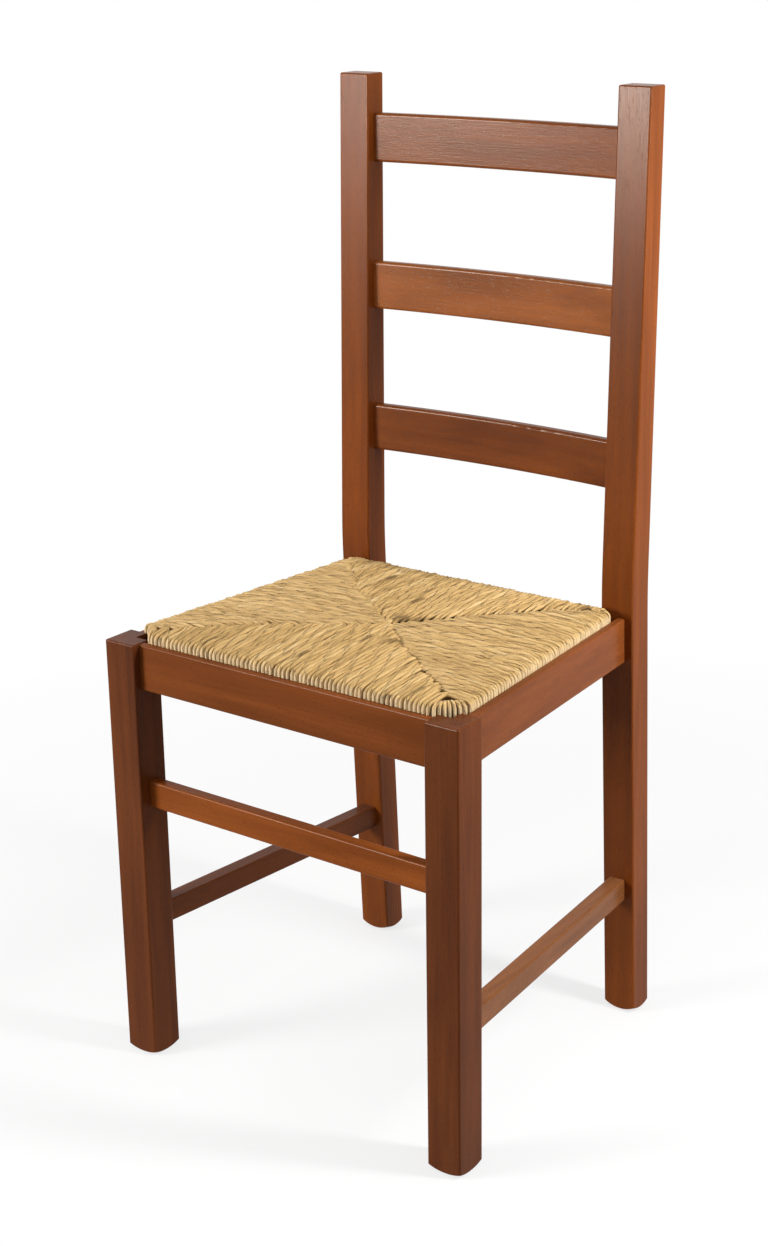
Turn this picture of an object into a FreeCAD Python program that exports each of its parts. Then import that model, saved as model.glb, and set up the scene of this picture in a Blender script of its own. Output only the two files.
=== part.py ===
import FreeCAD, Part
import os
import Sketcher

# A ladderback dining chair in stained beech with a drop-in seat of twisted rush.
# +X is the sitter's left, the front faces -Y, +Z is up. The origin is on the floor,
# under the middle of the chair's outline.

V = FreeCAD.Vector
doc = FreeCAD.newDocument("ladderback_chair")
sheet = doc.addObject("Spreadsheet::Sheet", "Dims")

# Driving dimensions in millimetres, with what each one is.
SIZES = [
    ("overcut", 1, "how far a cut or a tenon's root runs past the face it meets"),
    ("front_width", 430, "outer width across the front legs"),
    ("rear_width", 372, "outer width across the rear posts"),
    ("seat_height", 460, "floor to the tops of the front legs"),
    ("overall_height", 984, "floor to the tops of the rear posts"),
    ("leg_side", 38, "side of the square front leg"),
    ("post_front", 346, "front of the front legs to the front of the post at its bend"),
    ("post_width", 37, "width of the rear post"),
    ("post_foot_depth", 31, "depth of the post at the floor"),
    ("post_seat_depth", 32, "depth of the post at its bend"),
    ("post_top_depth", 26, "depth of the post at its top"),
    ("post_kick", 24, "how far the foot of the post stands back from its bend"),
    ("post_rake", 14, "how far the top of the post leans back from its bend"),
    ("bend_rise", 26, "the post's bend above the tops of the front legs"),
    ("bend_reach", 25, "length of the bend's curve above and below its middle"),
    ("leg_foot_flat", 8, "radius of the flat that a front leg stands on"),
    ("leg_foot_dome", 36, "radius of the dome round that flat"),
    ("post_foot_flat", 6, "radius of the flat that a post stands on"),
    ("post_foot_dome", 25, "radius of the dome round that flat"),
    ("leg_ease", 2, "rounding along the legs' and posts' long edges"),
    ("top_ease", 1.8, "rounding round the legs' and posts' top ends"),
    ("rail_setback", 9, "outer face of a seat rail behind the outer face of the leg"),
    ("rail_thick", 22, "thickness of a seat rail"),
    ("rail_depth", 48, "height of a seat rail's face"),
    ("rail_drop", 1, "rail top below the leg top"),
    ("rail_ease", 1.8, "rounding of the rail's top outer edge"),
    ("lip_width", 7.5, "rail top left outside the rebate"),
    ("rebate_depth", 18, "depth of the rebate that holds the seat"),
    ("rear_rail_inset", 5, "front of the rear rail behind the front of the post's bend"),
    ("rear_rail_drop", 6, "top of the rear rail below the tops of the others"),
    ("tenon_thick", 10, "thickness of the rail tenons"),
    ("tenon_shoulder", 4, "shoulder under and over a rail tenon"),
    ("tenon_gap", 0.1, "play of a tenon in its mortise, all round and at its end"),
    ("front_tenon_reach", 14, "length of the front rail's tenons"),
    ("front_tenon_inset", 7, "face of the front rail to its tenon"),
    ("side_tenon_reach", 20, "length of the side rails' tenons"),
    ("side_tenon_inset", 3, "outer shoulder of a side rail's tenon"),
    ("rear_tenon_inset", 6, "front of the rear rail to its tenon"),
    ("rear_tenon_depth", 9, "height of the rear rail's tenons"),
    ("rear_tenon_reach", 20, "length of the rear rail's tenons"),
    ("front_stretcher_top", 310.5, "floor to the top of the front stretcher"),
    ("front_stretcher_depth", 28.5, "height of the front stretcher's face"),
    ("front_stretcher_thick", 14, "thickness of the front stretcher"),
    ("front_stretcher_setback", 14, "its face behind the front of the legs"),
    ("side_stretcher_top", 161.5, "floor to the tops of the side stretchers"),
    ("side_stretcher_depth", 25, "height of a side stretcher"),
    ("side_stretcher_thick", 18, "thickness of a side stretcher"),
    ("side_stretcher_front_inset", 8, "its outer face inside the front leg's outer face"),
    ("side_stretcher_rear_inset", 10.5, "its outer face inside the post's outer face"),
    ("stretcher_ease", 2, "rounding along the stretchers' edges"),
    ("stretcher_shoulder", 3, "shoulder all round a stretcher's tenon"),
    ("stretcher_tenon_reach", 16, "length of the stretchers' tenons"),
    ("top_slat_drop", 40, "top slat below the tops of the posts"),
    ("slat_pitch", 153, "from one slat to the next"),
    ("slat_depth", 50, "height of a slat"),
    ("slat_thick", 12, "thickness of a slat"),
    ("slat_setback", 10, "slat's end behind the front of the post"),
    ("slat_bow", 8.5, "how far a slat bows back at its middle"),
    ("slat_ease", 3, "rounding along the slats' edges"),
    ("slat_shoulder", 3, "shoulder all round a slat's tenon"),
    ("slat_tenon_reach", 14, "length of the slats' tenons"),
    ("rush_gap", 0.5, "play between the rush and the wood round it"),
    ("rush_wrap", 4, "thickness of the rush where it goes round its frame"),
    ("rush_rise", 10, "rush above the leg tops along its edge"),
    ("rush_crown", 4, "rise of the rush from its edge to its middle"),
    ("rush_middle", 172, "front of the legs to where the rush's four falls meet"),
    ("rush_peak_share", 0.03, "size of the flat where they meet, as a share of the seat"),
    ("rush_edge_round", 7, "rounding of the rush over its edges"),
    ("rush_corner_round", 9, "rounding of the rush at its corners in plan"),
    ("rush_hem_round", 2, "rounding of the rush under its edges"),
    ("rush_corner_run", 5, "rush's corner cut past the leg's inner faces"),
    ("rush_rear_cut", 12, "cut of the rush's rear corners"),
    ("rush_rear_gap", 2, "rush in front of the posts"),
    ("frame_gap", 0.2, "play between the seat frame and the rush on it"),
    ("frame_rail_width", 28, "width of a seat frame rail"),
    ("frame_rail_depth", 20, "height of a seat frame rail"),
    ("frame_tenon_thick", 8, "thickness of the seat frame's tenons"),
    ("frame_tenon_side", 7, "side shoulders of the seat frame's tenons"),
    ("frame_tenon_reach", 14, "length of the seat frame's tenons"),
    ("block_run", 52, "length of a corner block along each rail"),
    ("block_clear", 8, "corner block's nose short of the leg"),
    ("block_depth", 28, "height of a corner block"),
    ("screw_diameter", 4, "shank of a seat screw"),
    ("screw_length", 44, "length of a seat screw under its head"),
    ("screw_point", 5, "length of its point"),
    ("screw_tip_diameter", 0.8, "end of its point"),
    ("screw_head_diameter", 8, "head of a seat screw"),
    ("screw_head_thick", 2.5, "thickness of the head"),
    ("screw_slot_width", 1.2, "driver slot's width"),
    ("screw_slot_deep", 1.2, "driver slot's depth"),
    ("screw_hole_gap", 0.1, "play round a screw"),
    ("screw_inset", 20, "seat screw from the leg or post"),
    ("front_screw_inset", 10, "front seat screw behind the front rail"),
    ("rear_screw_inset", 12, "rear seat screw in front of the seat frame's back edge"),
]
for row, (alias, value, note) in enumerate(SIZES, start=1):
    sheet.set(f"A{row}", note)
    sheet.set(f"B{row}", str(value))
    sheet.setAlias(f"B{row}", alias)
doc.recompute()


def number(text):
    """What an expression comes to now."""
    return float(sheet.evalExpression(text))


# Places that more than one piece shares, as expressions of the sheet.
DEPTH = "(Dims.post_front + Dims.post_kick + Dims.post_foot_depth)"
FRONT = f"(-{DEPTH} / 2)"
HALF_FRONT = "(Dims.front_width / 2)"
HALF_REAR = "(Dims.rear_width / 2)"
LEG_IN = f"({HALF_FRONT} - Dims.leg_side)"
LEG_BACK = f"({FRONT} + Dims.leg_side)"
POST_IN = f"({HALF_REAR} - Dims.post_width)"
POST_FACE = f"({FRONT} + Dims.post_front)"
BEND = "(Dims.seat_height + Dims.bend_rise)"
KICK_SLOPE = f"(Dims.post_kick / {BEND})"
RAKE_SLOPE = f"(Dims.post_rake / (Dims.overall_height - {BEND}))"
RAIL_TOP = "(Dims.seat_height - Dims.rail_drop)"
RAIL_BOTTOM = f"({RAIL_TOP} - Dims.rail_depth)"
LEDGE = f"({RAIL_TOP} - Dims.rebate_depth)"
RAIL_FACE = f"({FRONT} + Dims.rail_setback)"
RAIL_BACK = f"({RAIL_FACE} + Dims.rail_thick)"
REAR_RAIL_FACE = f"({POST_FACE} + Dims.rear_rail_inset)"
SIDE_FRONT = f"({HALF_FRONT} - Dims.rail_setback)"
SIDE_REAR = f"({HALF_REAR} - Dims.rail_setback)"
SIDE_SLOPE = f"(({SIDE_FRONT} - {SIDE_REAR}) / (Dims.post_front - Dims.leg_side))"


def post_face_at(height):
    """The post's front face at a height under its bend."""
    return f"({POST_FACE} + {KICK_SLOPE} * ({BEND} - {height}))"


def post_lean_at(height):
    """The post's front face at a height over its bend."""
    return f"({POST_FACE} + {RAKE_SLOPE} * ({height} - {BEND}))"


def side_line(inset, place):
    """Half the width, at a place along Y, of a line that runs beside the side rail."""
    return f"({SIDE_FRONT} - {inset} - {SIDE_SLOPE} * ({place} - {LEG_BACK}))"


# How pieces are drawn: prisms on a body's own origin planes, added or cut.
def new_body(label):
    """A piece of the chair."""
    body = doc.addObject("PartDesign::Body", label)
    body.Label = label
    return body


def new_sketch(body, name, plane, place):
    """A sketch on a plane of the body's origin, moved along the plane's axis."""
    sketch = body.newObject("Sketcher::SketchObject", name)
    origin_plane = [f for f in body.Origin.OriginFeatures if f.Role == plane][0]
    sketch.AttachmentSupport = (origin_plane, [""])
    sketch.MapMode = "FlatFace"
    sign = "-" if plane == "XZ_Plane" else ""
    sketch.setExpression("AttachmentOffset.Base.z", f"{sign}({place})")
    return sketch


def tie(sketch, rules):
    """Adds rules to a sketch, and ties each one that has an expression to the sheet."""
    indexes = sketch.addConstraint([rule for rule, text in rules])
    for index, (rule, text) in zip(indexes, rules):
        if text:
            sketch.setExpression(f"Constraints[{index}]", text)


def sized(kind, text, *where):
    """A rule whose size is an expression."""
    return (Sketcher.Constraint(kind, *where, number(text)), text)


def draw_outline(sketch, points, bows=None):
    """A closed outline. bows gives the sides that are arcs: 1 bulges left, -1 right, and a radius."""
    bows = bows or {}
    first = sketch.GeometryCount
    corners = [V(number(a), number(b), 0) for a, b in points]
    ends = []
    rules = []
    for i, corner in enumerate(corners):
        after = corners[(i + 1) % len(corners)]
        ends.append((1, 2))
        if i in bows:
            turn, radius = bows[i]
            chord = after - corner
            rise = number(radius) - (number(radius) ** 2 - (chord.Length / 2) ** 2) ** 0.5
            middle = (corner + after) / 2 + V(-chord.y, chord.x, 0).normalize() * rise * turn
            if turn > 0:
                ends[i] = (2, 1)
                arc = Part.Arc(after, middle, corner)
            else:
                arc = Part.Arc(corner, middle, after)
            sketch.addGeometry(arc, False)
            rules.append(sized("Radius", radius, first + i))
        else:
            sketch.addGeometry(Part.LineSegment(corner, after), False)
    for i, point in enumerate(points):
        after = (i + 1) % len(points)
        meeting = (first + i, ends[i][1], first + after, ends[after][0])
        rules.append((Sketcher.Constraint("Coincident", *meeting), None))
        rules.append(sized("DistanceX", point[0], -1, 1, first + i, ends[i][0]))
        rules.append(sized("DistanceY", point[1], -1, 1, first + i, ends[i][0]))
    tie(sketch, rules)


def prism(body, name, plane, points, start, finish, cut=False, bows=None):
    """An outline carried along its plane's axis from start to finish, added or cut."""
    before = body.Shape.Volume if body.Tip else 0
    sketch = new_sketch(body, f"{name}_outline", plane, start)
    draw_outline(sketch, points, bows)
    feature = body.newObject("PartDesign::Pocket" if cut else "PartDesign::Pad", name)
    feature.Profile = sketch
    feature.setExpression("Length", f"({finish}) - ({start})")
    feature.Reversed = (plane == "XZ_Plane") != cut
    doc.recompute()
    gain = body.Shape.Volume - before
    if cut:
        gain = -gain
    if gain <= 0:
        raise ValueError(f"{body.Label}: {name} changes nothing")
    return feature


def rectangle(left, right, low, high):
    """The corners of a rectangle."""
    return [(left, low), (right, low), (right, high), (left, high)]


def block(body, name, across, along, up, cut=False):
    """A box between two places on each axis, added or cut."""
    return prism(body, name, "XY_Plane", rectangle(*across, *along), *up, cut=cut)


def mortise(body, name, across, along, up):
    """A box cut out with a tenon's play round it."""
    grown = []
    for low, high in (across, along, up):
        grown.append((f"({low}) - Dims.tenon_gap", f"({high}) + Dims.tenon_gap"))
    return block(body, name, *grown, cut=True)


def hole(body, name, place, up):
    """A round hole for a seat screw, from one height to another."""
    before = body.Shape.Volume
    sketch = new_sketch(body, f"{name}_outline", "XY_Plane", up[0])
    centre = V(number(place[0]), number(place[1]), 0)
    sketch.addGeometry(Part.Circle(centre, V(0, 0, 1), number(SCREW_HOLE)), False)
    tie(sketch, [
        sized("Radius", SCREW_HOLE, 0),
        sized("DistanceX", place[0], -1, 1, 0, 3),
        sized("DistanceY", place[1], -1, 1, 0, 3),
    ])
    feature = body.newObject("PartDesign::Pocket", name)
    feature.Profile = sketch
    feature.setExpression("Length", f"({up[1]}) - ({up[0]})")
    feature.Reversed = True
    doc.recompute()
    if body.Shape.Volume >= before:
        raise ValueError(f"{body.Label}: {name} cuts nothing")


def domed_foot(body, across, along, half_diagonal, flat, radius):
    """Turns the foot of a leg to a low dome, with a flat in its middle to stand on."""
    before = body.Shape.Volume
    sketch = new_sketch(body, "foot_outline", "XZ_Plane", along)
    sketch.setExpression("AttachmentOffset.Base.x", across)
    reach = f"({half_diagonal} + Dims.overcut)"
    rise = f"({radius} - sqrt({radius} ^ 2 - ({reach} - {flat}) ^ 2))"
    waste = [(flat, "0"), (flat, "-Dims.overcut"), (reach, "-Dims.overcut"), (reach, rise)]
    draw_outline(sketch, waste, bows={3: (1, radius)})
    feature = body.newObject("PartDesign::Groove", "foot")
    feature.Profile = sketch
    feature.ReferenceAxis = (sketch, ["V_Axis"])
    feature.Angle = 360
    doc.recompute()
    if body.Shape.Volume >= before:
        raise ValueError(f"{body.Label}: foot cuts nothing")


def round_edges(body, name, radius, chosen):
    """Rounds the edges of the body that a test picks."""
    edges = [f"Edge{i}" for i, edge in enumerate(body.Shape.Edges, start=1) if chosen(edge)]
    if not edges:
        raise ValueError(f"{body.Label}: {name} finds no edge")
    rounded = body.Tip
    feature = body.newObject("PartDesign::Fillet", name)
    feature.Base = (rounded, edges)
    feature.setExpression("Radius", radius)
    doc.recompute()
    if "Invalid" in feature.State or not body.Shape.isValid():
        raise ValueError(f"{body.Label}: {name} fails")


X, Y, Z = V(1, 0, 0), V(0, 1, 0), V(0, 0, 1)
SIDES = (("left", "1"), ("right", "-1"))
ALONG_SHARE = 0.98
CLOSE = 0.01


def runs(edge, axis):
    """Whether an edge runs along an axis, give or take a lean or a slow bend."""
    ends = [vertex.Point for vertex in edge.Vertexes]
    return len(ends) == 2 and abs((ends[1] - ends[0]).normalize().dot(axis)) > ALONG_SHARE


def at(edge, axis, place):
    """Whether an edge lies across an axis at one place on it."""
    target = number(place)
    return all(abs(vertex.Point.dot(axis) - target) < CLOSE for vertex in edge.Vertexes)


def mirrored(side, pair):
    """A pair of places across the chair, on the side that is built."""
    low, high = pair
    return (low, high) if side == "1" else (f"-({high})", f"-({low})")


def mirrored_points(side, points):
    """Points of an outline, on the side that is built."""
    return [(f"{side} * ({a})", b) for a, b in points]


def inside(pair, shoulder):
    """A pair of places drawn in by a shoulder at each end."""
    return (f"{pair[0]} + {shoulder}", f"{pair[1]} - {shoulder}")


def span(start, length):
    """A pair of places, from one place on by a length."""
    return (start, f"{start} + {length}")


SCREW_HOLE = "(Dims.screw_diameter / 2 + Dims.screw_hole_gap)"

# Where tenons lie. The front and side tenons share the leg's head without meeting,
# and the rear rail's tenon passes over the side rail's.
RAIL_TENON_Z = (f"{RAIL_BOTTOM} + Dims.tenon_shoulder", f"{LEDGE} - Dims.tenon_shoulder")
FRONT_TENON_X = span(LEG_IN, "Dims.front_tenon_reach")
FRONT_TENON_Y = span(f"{RAIL_FACE} + Dims.front_tenon_inset", "Dims.tenon_thick")
SIDE_TENON_X = span(f"{SIDE_FRONT} - Dims.side_tenon_inset - Dims.tenon_thick", "Dims.tenon_thick")
SIDE_TENON_Y = (f"{LEG_BACK} - Dims.side_tenon_reach", LEG_BACK)
SIDE_END_X = span(f"{SIDE_REAR} - Dims.side_tenon_inset - Dims.tenon_thick", "Dims.tenon_thick")
SIDE_END_Y = span(POST_FACE, "Dims.side_tenon_reach")
REAR_TENON_X = span(POST_IN, "Dims.rear_tenon_reach")
REAR_TENON_Y = span(f"{REAR_RAIL_FACE} + Dims.rear_tenon_inset", "Dims.tenon_thick")
REAR_TENON_Z = span(LEDGE, "Dims.rear_tenon_depth")

FRONT_STRETCHER_Y = span(f"{FRONT} + Dims.front_stretcher_setback", "Dims.front_stretcher_thick")
FRONT_STRETCHER_Z = ("Dims.front_stretcher_top - Dims.front_stretcher_depth", "Dims.front_stretcher_top")
SIDE_STRETCHER_Z = ("Dims.side_stretcher_top - Dims.side_stretcher_depth", "Dims.side_stretcher_top")
STRETCHER_FRONT = f"({HALF_FRONT} - Dims.side_stretcher_front_inset)"
STRETCHER_REAR = f"({HALF_REAR} - Dims.side_stretcher_rear_inset)"
STRETCHER_END = post_face_at("(Dims.side_stretcher_top - Dims.side_stretcher_depth / 2)")
STRETCHER_IN_FRONT = f"{STRETCHER_FRONT} - Dims.side_stretcher_thick"
STRETCHER_IN_REAR = f"{STRETCHER_REAR} - Dims.side_stretcher_thick"

SHOULDER = "Dims.stretcher_shoulder"
FRONT_STRETCHER_TENON_X = span(LEG_IN, "Dims.stretcher_tenon_reach")
FRONT_STRETCHER_TENON_Y = inside(FRONT_STRETCHER_Y, SHOULDER)
FRONT_STRETCHER_TENON_Z = inside(FRONT_STRETCHER_Z, SHOULDER)
STRETCHER_TENON_Z = inside(SIDE_STRETCHER_Z, SHOULDER)
STRETCHER_TENON_X = inside((STRETCHER_IN_FRONT, STRETCHER_FRONT), SHOULDER)
STRETCHER_TENON_Y = (f"{LEG_BACK} - Dims.stretcher_tenon_reach", LEG_BACK)
STRETCHER_END_X = inside((STRETCHER_IN_REAR, STRETCHER_REAR), SHOULDER)
STRETCHER_END_Y = (POST_FACE, f"{STRETCHER_END} + Dims.stretcher_tenon_reach")

# The rush seat's outline. Its front corners are cut across the heads of the legs.
RUSH_INSET = "(Dims.lip_width + Dims.rush_gap)"
RUSH_FRONT = f"({RAIL_FACE} + {RUSH_INSET})"
RUSH_REAR = f"({POST_FACE} - Dims.rush_rear_gap)"
RUSH_EDGE = "(Dims.seat_height + Dims.rush_rise)"
RUSH_MIDDLE = f"({FRONT} + Dims.rush_middle)"
FRAME_BOTTOM = f"({LEDGE} + Dims.rush_wrap)"
FRAME_TOP = f"({FRAME_BOTTOM} + Dims.frame_rail_depth)"
CORNER_Y = f"({LEG_BACK} + Dims.rush_corner_run)"
CORNER_A = (f"({LEG_IN} - Dims.rush_corner_run)", RUSH_FRONT)
CORNER_B = (side_line(RUSH_INSET, CORNER_Y), CORNER_Y)
CORNER_LEAN = f"(({CORNER_B[1]} - {CORNER_A[1]}) / ({CORNER_B[0]} - {CORNER_A[0]}))"
NOTCH_X = f"({CORNER_A[0]} + ({LEG_BACK} - {CORNER_A[1]}) / {CORNER_LEAN} + Dims.rush_gap)"
NOTCH_Y = f"({CORNER_A[1]} + {CORNER_LEAN} * ({LEG_IN} - {CORNER_A[0]}) - Dims.rush_gap)"


def seat_side(inward, place):
    """Half the seat's width at a place along Y, drawn inward from the rush's side."""
    return side_line(f"({RUSH_INSET} + {inward})", place)


def seat_corners(inward):
    """The four corners of the seat's outline on one side, from the front, drawn inward."""
    rear_cut = f"({RUSH_REAR} - Dims.rush_rear_cut)"
    return [
        (f"{CORNER_A[0]} - {inward} / 2", f"{CORNER_A[1]} + {inward}"),
        (f"{CORNER_B[0]} - {inward}", f"{CORNER_B[1]} + {inward} / 2"),
        (f"{seat_side(0, rear_cut)} - {inward}", f"{rear_cut} - {inward} / 2"),
        (f"{seat_side(0, RUSH_REAR)} - Dims.rush_rear_cut - {inward} / 2", f"{RUSH_REAR} - {inward}"),
    ]


def both_sides(points):
    """Points on one side, in order from the front, and their mirror images."""
    return points + [(f"-({a})", b) for a, b in reversed(points)]


# Front legs: square beech, domed under the foot, mortised for the rails and stretchers,
# with the seat's rebate carried across the inner corner of the head.
for name, side in SIDES:
    leg = new_body(f"front_leg_{name}")
    block(leg, "square", mirrored(side, (LEG_IN, HALF_FRONT)), (FRONT, LEG_BACK), ("0", "Dims.seat_height"))
    round_edges(leg, "long_edges", "Dims.leg_ease", lambda edge: runs(edge, Z))
    round_edges(leg, "top_edges", "Dims.top_ease", lambda edge: at(edge, Z, "Dims.seat_height"))
    middle = (f"{side} * ({HALF_FRONT} - Dims.leg_side / 2)", f"{FRONT} + Dims.leg_side / 2")
    domed_foot(leg, *middle, "(Dims.leg_side / sqrt(2))", "Dims.leg_foot_flat", "Dims.leg_foot_dome")
    mortise(leg, "front_rail_mortise", mirrored(side, FRONT_TENON_X), FRONT_TENON_Y, RAIL_TENON_Z)
    mortise(leg, "side_rail_mortise", mirrored(side, SIDE_TENON_X), SIDE_TENON_Y, RAIL_TENON_Z)
    across = mirrored(side, FRONT_STRETCHER_TENON_X)
    mortise(leg, "front_stretcher_mortise", across, FRONT_STRETCHER_TENON_Y, FRONT_STRETCHER_TENON_Z)
    across = mirrored(side, STRETCHER_TENON_X)
    mortise(leg, "side_stretcher_mortise", across, STRETCHER_TENON_Y, STRETCHER_TENON_Z)
    across = mirrored(side, (f"{LEG_IN} - Dims.overcut", NOTCH_X))
    along = (NOTCH_Y, f"{LEG_BACK} + Dims.overcut")
    block(leg, "seat_rebate", across, along, (LEDGE, "Dims.seat_height + Dims.overcut"), cut=True)

# Slats: three bowed rungs of the ladder, each with a tenon in both posts.
SLATS = (("top_slat", "0"), ("middle_slat", "1"), ("lower_slat", "2"))


def slat_z(step):
    """A slat's bottom and top."""
    top = f"(Dims.overall_height - Dims.top_slat_drop - {step} * Dims.slat_pitch)"
    return (f"{top} - Dims.slat_depth", top)


def slat_y(step):
    """A slat's front and back where it meets the post."""
    face = post_lean_at(f"({slat_z(step)[1]} - Dims.slat_depth / 2)")
    return span(f"{face} + Dims.slat_setback", "Dims.slat_thick")


SLAT_TENON_X = span(POST_IN, "Dims.slat_tenon_reach")
SLAT_RADIUS = f"(({POST_IN} ^ 2 + Dims.slat_bow ^ 2) / (2 * Dims.slat_bow))"

POST_BACK = f"({POST_FACE} + Dims.post_seat_depth)"
BACK_KICK = f"((Dims.post_kick + Dims.post_foot_depth - Dims.post_seat_depth) / {BEND})"
BACK_LEAN = "(Dims.post_rake + Dims.post_top_depth - Dims.post_seat_depth)"
BACK_RAKE = f"({BACK_LEAN} / (Dims.overall_height - {BEND}))"


def bend_end(face, slope, sign):
    """Where the bend's curve meets a straight face of the post."""
    angle = f"atan({slope})"
    return (f"{face} + Dims.bend_reach * sin({angle})", f"{BEND} {sign} Dims.bend_reach * cos({angle})")


def bend_radius(below, above):
    """The radius of the curve that joins the post's two slopes."""
    return f"(Dims.bend_reach / tan((atan({below}) + atan({above})) / 2))"


# Rear posts: one piece from floor to top, kicked back below the seat and leaning above it.
for name, side in SIDES:
    post = new_body(f"rear_post_{name}")
    profile = [
        (f"{POST_FACE} + Dims.post_kick", "0"),
        (f"{POST_FACE} + Dims.post_kick + Dims.post_foot_depth", "0"),
        bend_end(POST_BACK, BACK_KICK, "-"),
        bend_end(POST_BACK, BACK_RAKE, "+"),
        (f"{POST_FACE} + Dims.post_rake + Dims.post_top_depth", "Dims.overall_height"),
        (f"{POST_FACE} + Dims.post_rake", "Dims.overall_height"),
        bend_end(POST_FACE, RAKE_SLOPE, "+"),
        bend_end(POST_FACE, KICK_SLOPE, "-"),
    ]
    bends = {
        2: (1, bend_radius(BACK_KICK, BACK_RAKE)),
        6: (-1, bend_radius(KICK_SLOPE, RAKE_SLOPE)),
    }
    prism(post, "side_profile", "YZ_Plane", profile, *mirrored(side, (POST_IN, HALF_REAR)), bows=bends)
    round_edges(post, "long_edges", "Dims.leg_ease", lambda edge: runs(edge, Z))
    round_edges(post, "top_edges", "Dims.top_ease", lambda edge: at(edge, Z, "Dims.overall_height"))
    across = f"{side} * ({HALF_REAR} - Dims.post_width / 2)"
    along = f"{POST_FACE} + Dims.post_kick + Dims.post_foot_depth / 2"
    half_diagonal = "(sqrt(Dims.post_width ^ 2 + Dims.post_foot_depth ^ 2) / 2)"
    domed_foot(post, across, along, half_diagonal, "Dims.post_foot_flat", "Dims.post_foot_dome")
    mortise(post, "side_rail_mortise", mirrored(side, SIDE_END_X), SIDE_END_Y, RAIL_TENON_Z)
    mortise(post, "rear_rail_mortise", mirrored(side, REAR_TENON_X), REAR_TENON_Y, REAR_TENON_Z)
    mortise(post, "stretcher_mortise", mirrored(side, STRETCHER_END_X), STRETCHER_END_Y, STRETCHER_TENON_Z)
    for slat, step in SLATS:
        along = inside(slat_y(step), "Dims.slat_shoulder")
        up = inside(slat_z(step), "Dims.slat_shoulder")
        mortise(post, f"{slat}_mortise", mirrored(side, SLAT_TENON_X), along, up)

# Front and rear seat rails. The front one is rebated for the seat and has a rounded top edge.
front_rail = new_body("front_seat_rail")
FULL_SPAN = (f"-({LEG_IN})", LEG_IN)
block(front_rail, "rail", FULL_SPAN, (RAIL_FACE, RAIL_BACK), (RAIL_BOTTOM, LEDGE))
block(front_rail, "lip", FULL_SPAN, span(RAIL_FACE, "Dims.lip_width"), (LEDGE, RAIL_TOP))
EASED_EDGES = (("top_edge", "Dims.rail_ease", RAIL_TOP), ("bottom_edge", "Dims.leg_ease", RAIL_BOTTOM))
for part, radius, height in EASED_EDGES:
    round_edges(front_rail, part, radius, lambda edge: at(edge, Z, height) and at(edge, Y, RAIL_FACE))
block(front_rail, "tenons", (f"-({FRONT_TENON_X[1]})", FRONT_TENON_X[1]), FRONT_TENON_Y, RAIL_TENON_Z)

rear_rail = new_body("rear_seat_rail")
rear_span = (f"-({POST_IN})", POST_IN)
rear_up = (RAIL_BOTTOM, f"{RAIL_TOP} - Dims.rear_rail_drop")
block(rear_rail, "rail", rear_span, span(REAR_RAIL_FACE, "Dims.rail_thick"), rear_up)
round_edges(rear_rail, "long_edges", "Dims.leg_ease", lambda edge: runs(edge, X))
block(rear_rail, "tenons", (f"-({REAR_TENON_X[1]})", REAR_TENON_X[1]), REAR_TENON_Y, REAR_TENON_Z)


BAR_FAR = f"({POST_FACE} + Dims.post_kick)"


def slant_cut(body, name, heights):
    """Cuts a side bar's rear end to the slope of the post's front face."""
    low, high = (f"({heights[0]} - Dims.overcut)", f"({heights[1]} + Dims.overcut)")
    far = f"({BAR_FAR} + Dims.overcut)"
    waste = [(post_face_at(low), low), (far, low), (far, high), (post_face_at(high), high)]
    prism(body, name, "YZ_Plane", waste, f"-({HALF_FRONT})", HALF_FRONT, cut=True)


def outermost(edge, place):
    """Whether an edge along the seat's side starts at this place across the chair."""
    target = abs(number(place))
    return any(abs(abs(vertex.X) - target) < CLOSE for vertex in edge.Vertexes)


# Side seat rails: they narrow towards the back, so each end is cut on a slant.
SIDE_BARS = (
    ("rail", "Dims.rail_thick", (RAIL_BOTTOM, LEDGE)),
    ("lip", "Dims.lip_width", (LEDGE, RAIL_TOP)),
)
for name, side in SIDES:
    rail = new_body(f"side_seat_rail_{name}")
    for part, inner, heights in SIDE_BARS:
        plan = [
            (side_line(inner, LEG_BACK), LEG_BACK),
            (side_line(0, LEG_BACK), LEG_BACK),
            (side_line(0, BAR_FAR), BAR_FAR),
            (side_line(inner, BAR_FAR), BAR_FAR),
        ]
        prism(rail, part, "XY_Plane", mirrored_points(side, plan), *heights)
    slant_cut(rail, "shoulder", (RAIL_BOTTOM, RAIL_TOP))
    for part, radius, height in EASED_EDGES:
        round_edges(
            rail, part, radius,
            lambda edge: at(edge, Z, height) and runs(edge, Y) and outermost(edge, SIDE_FRONT),
        )
    along = (SIDE_TENON_Y[0], f"{LEG_BACK} + Dims.overcut")
    block(rail, "front_tenon", mirrored(side, SIDE_TENON_X), along, RAIL_TENON_Z)
    block(rail, "rear_tenon", mirrored(side, SIDE_END_X), SIDE_END_Y, RAIL_TENON_Z)

# Stretchers: a high one in front and a low one on each side, all with eased edges.
front_stretcher = new_body("front_stretcher")
block(front_stretcher, "bar", FULL_SPAN, FRONT_STRETCHER_Y, FRONT_STRETCHER_Z)
round_edges(front_stretcher, "long_edges", "Dims.stretcher_ease", lambda edge: runs(edge, X))
TENONS_X = (f"-({FRONT_STRETCHER_TENON_X[1]})", FRONT_STRETCHER_TENON_X[1])
block(front_stretcher, "tenons", TENONS_X, FRONT_STRETCHER_TENON_Y, FRONT_STRETCHER_TENON_Z)


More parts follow.
